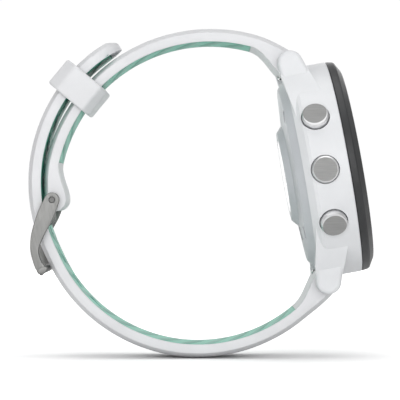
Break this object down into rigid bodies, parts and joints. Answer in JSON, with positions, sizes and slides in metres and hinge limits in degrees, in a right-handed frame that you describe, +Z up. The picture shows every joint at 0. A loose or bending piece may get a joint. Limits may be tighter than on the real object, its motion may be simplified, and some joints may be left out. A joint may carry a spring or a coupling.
{
  "type": "gps running watch",
  "caption": "Round running watch, buckled: white case with a dark bezel, push buttons, and a two-tone silicone strap with a steel buckle and a sliding keeper.",
  "frame": {"origin": "on the axis of the wrist, half way across the strap", "axes": "+Z up as the buckled watch stands on its strap, towards 12 o'clock; +Y along the wrist, out of the 3 o'clock side; +X out of the display, which leans back 10 degrees"},
  "size_m": [0.0677, 0.0427, 0.0644],
  "materials": {
    "white_polymer": "fine matt white",
    "cover_polymer": "matt light grey",
    "bezel_polymer": "matt dark grey",
    "lens": "clear, polished",
    "display": "black, smooth",
    "steel": "satin brushed",
    "bright_steel": "polished",
    "white_silicone": "smooth matt",
    "green_silicone": "smooth matt",
    "seal_rubber": "black",
    "circuit": "green solder mask",
    "shield_metal": "plain",
    "bracket_metal": "plain",
    "battery_wrap": "foil wrap",
    "antenna_metal": "plated",
    "gold": "gold plated",
    "black_polymer": "moulded",
    "sensor_glass": "smoked, polished",
    "emitters": "clear domes",
    "brass_insert": "knurled"
  },
  "bodies": {
    "head": {"case_middle": "white_polymer", "rear_cover": "cover_polymer", "sensor_window": "sensor_glass", "rear_cover_screws": "steel", "screw_inserts": "brass_insert", "rear_cover_gasket": "seal_rubber", "charging_port_socket": "black_polymer", "charging_pins": "gold", "sensor_board": "circuit", "sensor_emitters": "emitters", "bezel_ring": "bezel_polymer", "lens_glass": "lens", "lens_gasket": "seal_rubber", "display_module": "display", "display_bracket": "bracket_metal", "main_board": "circuit", "board_shields": "shield_metal", "gnss_antenna": "antenna_metal", "battery_cell": "battery_wrap", "vibration_motor": "steel", "button_springs": "steel", "button_switches": "black_polymer"},
    "buckle_strap_root": {"buckle_strap_lug_section": "white_silicone", "buckle_strap_lug_liner": "green_silicone", "top_spring_bar_tube": "steel", "top_spring_bar_spring": "steel"},
    "buckle_strap_end": {"buckle_strap_end_section": "white_silicone", "buckle_strap_end_liner": "green_silicone", "buckle_pin": "steel"},
    "tail_strap_root": {"tail_strap_lug_section": "white_silicone", "tail_strap_lug_liner": "green_silicone", "bottom_spring_bar_tube": "steel", "bottom_spring_bar_spring": "steel"},
    "tail_strap_end": {"tail_strap_end_section": "white_silicone", "tail_strap_end_liner": "green_silicone"},
    "top_lever": {"top_quick_release_lever": "bright_steel"},
    "bottom_lever": {"bottom_quick_release_lever": "bright_steel"},
    "frame": {"buckle_frame": "steel"},
    "prong": {"buckle_prong": "steel"},
    "keeper": {"strap_keeper": "white_silicone"},
    "light_button": {"light_button_cap": "steel", "light_button_seal": "seal_rubber", "light_button_clip": "bright_steel"},
    "up_button": {"up_button_cap": "steel", "up_button_seal": "seal_rubber", "up_button_clip": "bright_steel"},
    "down_button": {"down_button_cap": "steel", "down_button_seal": "seal_rubber", "down_button_clip": "bright_steel"},
    "start_button": {"start_button_cap": "steel", "start_button_seal": "seal_rubber", "start_button_clip": "bright_steel"},
    "back_button": {"back_button_cap": "steel", "back_button_seal": "seal_rubber", "back_button_clip": "bright_steel"}
  },
  "joints": [
    {"name": "top_lug_hinge", "type": "hinge", "parent": "head", "child": "buckle_strap_root", "pos_m": [0.01774, 0, 0.02481], "axis": [0, -1, 0], "range_deg": [-5, 5], "stiffness_Nm_per_rad": 0.25},
    {"name": "buckle_strap_flex", "type": "hinge", "parent": "buckle_strap_root", "child": "buckle_strap_end", "pos_m": [-0.0041, 0, 0.02991], "axis": [0, -1, 0], "range_deg": [-5, 5], "stiffness_Nm_per_rad": 0.25},
    {"name": "bottom_lug_hinge", "type": "hinge", "parent": "head", "child": "tail_strap_root", "pos_m": [0.02516, 0, -0.01724], "axis": [0, -1, 0], "range_deg": [-5, 5], "stiffness_Nm_per_rad": 0.25},
    {"name": "tail_strap_flex", "type": "hinge", "parent": "tail_strap_root", "child": "tail_strap_end", "pos_m": [-0.0106, 0, -0.02913], "axis": [0, -1, 0], "range_deg": [-5, 5], "stiffness_Nm_per_rad": 0.25},
    {"name": "keeper_slide", "type": "hinge", "parent": "buckle_strap_end", "child": "keeper", "pos_m": [0.00247, 0, -0.001], "axis": [0, -1, 0], "range_deg": [-32, 20]},
    {"name": "buckle_frame_hinge", "type": "hinge", "parent": "buckle_strap_end", "child": "frame", "pos_m": [-0.02826, 0, -0.00152], "axis": [0, 1, 0], "range_deg": [0, 4]},
    {"name": "prong_hinge", "type": "hinge", "parent": "frame", "child": "prong", "pos_m": [-0.02826, 0, -0.00152], "axis": [0, 1, 0], "range_deg": [0, 3]},
    {"name": "top_quick_release", "type": "slide", "parent": "buckle_strap_root", "child": "top_lever", "axis": [0, -1, 0], "range_m": [0, 0.0015], "stiffness_N_per_m": 800, "springref_m": -0.001, "deforming": ["top_spring_bar_spring"]},
    {"name": "bottom_quick_release", "type": "slide", "parent": "tail_strap_root", "child": "bottom_lever", "axis": [0, -1, 0], "range_m": [0, 0.0015], "stiffness_N_per_m": 800, "springref_m": -0.001, "deforming": ["bottom_spring_bar_spring"]},
    {"name": "light_button_press", "type": "slide", "parent": "head", "child": "light_button", "axis": [0.0842, 0.8746, -0.4774], "range_m": [0, 0.0005], "stiffness_N_per_m": 3000, "springref_m": -0.0003, "deforming": ["button_springs"]},
    {"name": "up_button_press", "type": "slide", "parent": "head", "child": "up_button", "axis": [0, 1, 0], "range_m": [0, 0.0005], "stiffness_N_per_m": 3000, "springref_m": -0.0003, "deforming": ["button_springs"]},
    {"name": "down_button_press", "type": "slide", "parent": "head", "child": "down_button", "axis": [-0.0842, 0.8746, 0.4774], "range_m": [0, 0.0005], "stiffness_N_per_m": 3000, "springref_m": -0.0003, "deforming": ["button_springs"]},
    {"name": "start_button_press", "type": "slide", "parent": "head", "child": "start_button", "axis": [0.0842, -0.8746, -0.4774], "range_m": [0, 0.0005], "stiffness_N_per_m": 3000, "springref_m": -0.0003, "deforming": ["button_springs"]},
    {"name": "back_button_press", "type": "slide", "parent": "head", "child": "back_button", "axis": [-0.0842, -0.8746, 0.4774], "range_m": [0, 0.0005], "stiffness_N_per_m": 3000, "springref_m": -0.0003, "deforming": ["button_springs"]}
  ],
  "couplings": [
    {"joint": "bottom_lug_hinge", "follows": "top_lug_hinge", "ratio": 0.65043},
    {"joint": "buckle_strap_flex", "follows": "top_lug_hinge", "ratio": -0.78259},
    {"joint": "tail_strap_flex", "follows": "top_lug_hinge", "ratio": -0.43302}
  ]
}
